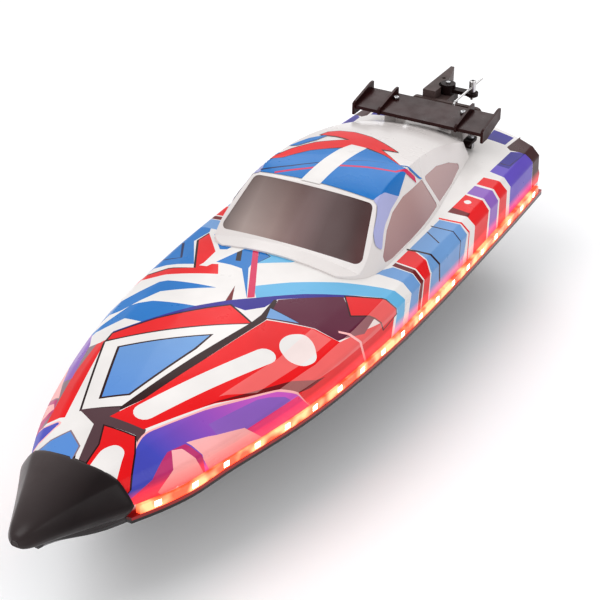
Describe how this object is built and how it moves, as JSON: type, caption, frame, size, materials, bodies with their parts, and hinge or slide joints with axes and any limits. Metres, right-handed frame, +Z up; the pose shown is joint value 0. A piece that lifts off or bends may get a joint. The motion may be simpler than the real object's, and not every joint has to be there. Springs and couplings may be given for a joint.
{
  "type": "rc boat",
  "caption": "Radio-controlled deep-V speed boat with soft bow bumper, lift-off cabin, rear wing, side light strips, steered rudder and inclined screw drive.",
  "frame": {"origin": "on the flat keel pad's underside, at mid hull length, on the centre line", "axes": "+X to port, +Y aft along the keel (the bow points along -Y), +Z up"},
  "size_m": [0.143, 0.507, 0.1229],
  "materials": {
    "deck_paint": "gloss white shell with a printed red, white and blue pattern",
    "hull_black": "gloss black",
    "bumper_rubber": "satin",
    "cabin_paint": "gloss white with printed panels",
    "tinted_glass": "smoked clear plastic",
    "dark_plastic": "moulded, fine grain",
    "grey_plastic": "moulded, fine grain",
    "wing_plastic": "satin",
    "clear_plastic": "vacuum formed clear sheet",
    "seal_rubber": "matte",
    "light_strip": "translucent, lit from inside",
    "lamp_glow": "lit lamp",
    "steel": "turned",
    "chrome": "bright nickel",
    "servo_plastic": "moulded",
    "white_plastic": "moulded nylon",
    "motor_can": "black can",
    "anodised": "red anodised",
    "brass": "drawn tube",
    "propeller_plastic": "moulded nylon",
    "battery_wrap": "shrink wrap",
    "strap_fabric": "woven hook and loop",
    "control_plastic": "moulded, fine grain",
    "silicone": "translucent silicone"
  },
  "bodies": {
    "hull": {"deck_shell": "deck_paint", "hull_lower": "hull_black", "bow_bumper": "bumper_rubber", "latch_pin": "steel", "hatch_cover": "clear_plastic", "hatch_seal": "seal_rubber", "rear_wing": "wing_plastic", "wing_post_port": "cabin_paint", "wing_post_starboard": "cabin_paint", "wing_screws": "steel", "light_strip_port": "light_strip", "light_strip_starboard": "light_strip", "lamps_port": "lamp_glow", "lamps_starboard": "lamp_glow", "rudder_bracket": "grey_plastic", "bracket_screws": "steel", "pushrod_boot": "seal_rubber", "steering_servo": "servo_plastic", "servo_mount": "dark_plastic", "servo_screws": "steel", "motor": "motor_can", "water_jacket": "anodised", "motor_mount": "anodised", "shaft_tube": "brass", "shaft_strut": "anodised", "strut_bushing": "brass", "battery_tray": "dark_plastic", "battery_pack": "battery_wrap", "battery_straps": "strap_fabric", "control_box": "control_plastic", "control_shelf": "dark_plastic", "water_contacts": "steel", "drain_plug": "seal_rubber", "water_outlet": "anodised", "water_pickup": "brass", "cooling_hoses": "silicone"},
    "cabin": {"cabin_shell": "cabin_paint", "windshield": "tinted_glass", "side_window_port": "tinted_glass", "side_window_starboard": "tinted_glass"},
    "latch": {"cabin_latch": "dark_plastic"},
    "rudder": {"rudder": "dark_plastic", "rudder_pin": "steel", "tiller_arm": "dark_plastic"},
    "servo_arm": {"servo_horn": "white_plastic", "horn_screw": "steel"},
    "linkage": {"pushrod": "chrome", "linkage_stopper": "chrome", "stopper_screw": "chrome"},
    "driveline": {"motor_shaft": "steel", "shaft_coupling": "steel", "drive_shaft": "steel", "drive_dog": "steel", "propeller": "propeller_plastic", "prop_nut": "steel"}
  },
  "joints": [
    {"name": "cabin_release", "type": "slide", "parent": "hull", "child": "cabin", "axis": [0, -0.866, 0.5], "range_m": [0, 0.12]},
    {"name": "latch_turn", "type": "hinge", "parent": "hull", "child": "latch", "pos_m": [0.0335, 0.191, 0.069], "axis": [0, 0, 1], "range_deg": [0, 100]},
    {"name": "rudder_turn", "type": "hinge", "parent": "hull", "child": "rudder", "pos_m": [-0.008, 0.247, 0.06], "axis": [0, 0, 1], "range_deg": [-30, 30]},
    {"name": "servo_turn", "type": "hinge", "parent": "hull", "child": "servo_arm", "pos_m": [-0.008, 0.17, 0.054], "axis": [0, 0, 1], "range_deg": [-30, 30]},
    {"name": "pushrod_swing", "type": "hinge", "parent": "servo_arm", "child": "linkage", "pos_m": [0.0095, 0.17, 0.054], "axis": [0, 0, 1], "range_deg": [-30, 30]},
    {"name": "screw_spin", "type": "hinge", "parent": "hull", "child": "driveline", "pos_m": [0, 0.236, -0.008], "axis": [0, 0.9848, -0.1736], "continuous": true}
  ],
  "couplings": [
    {"joint": "servo_turn", "follows": "rudder_turn", "ratio": 1},
    {"joint": "pushrod_swing", "follows": "rudder_turn", "ratio": -1}
  ]
}
